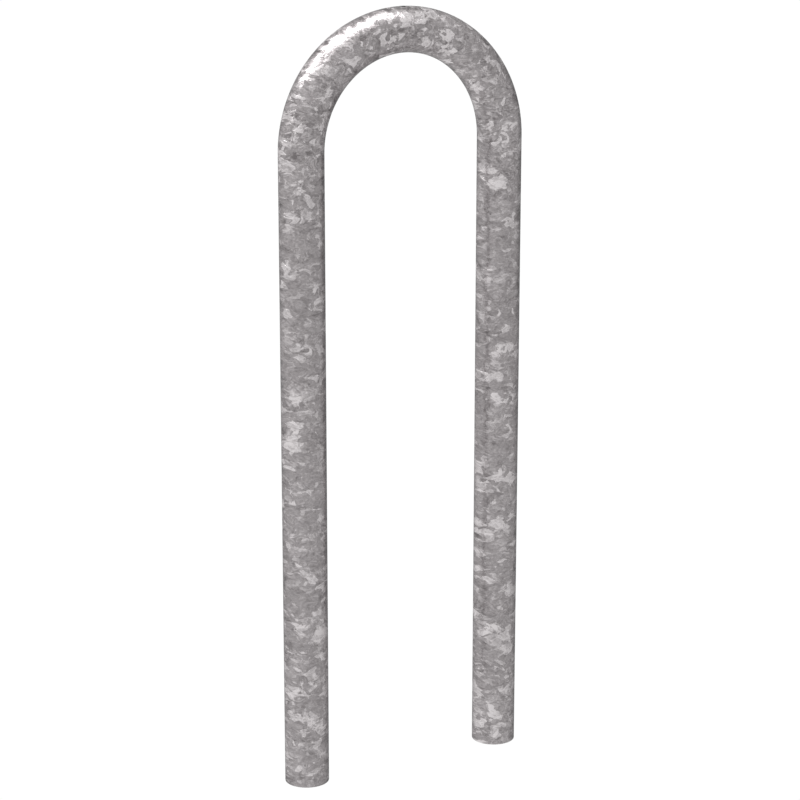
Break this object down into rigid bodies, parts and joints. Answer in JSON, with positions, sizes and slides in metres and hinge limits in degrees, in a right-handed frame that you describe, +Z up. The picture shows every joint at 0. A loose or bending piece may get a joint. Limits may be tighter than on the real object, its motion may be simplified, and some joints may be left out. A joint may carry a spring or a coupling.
{
  "type": "hoop bike rack",
  "caption": "Bike rack: a pipe bent to an upside-down U, hot-dip galvanised, with plain legs to be set in concrete and ribbed plugs in the cut ends.",
  "frame": {"origin": "midway between the two legs, at the level of their cut ends", "axes": "+Z up along the legs to the crown, +X from the left leg to the right leg, +Y through the hoop"},
  "size_m": [0.3618, 0.0602, 1.0509],
  "materials": {
    "galvanised_steel": "hot-dip galvanised, spangled",
    "plug_plastic": "moulded, black"
  },
  "bodies": {
    "root": {"hoop_pipe": "galvanised_steel", "left_end_plug": "plug_plastic", "right_end_plug": "plug_plastic"}
  },
  "joints": []
}
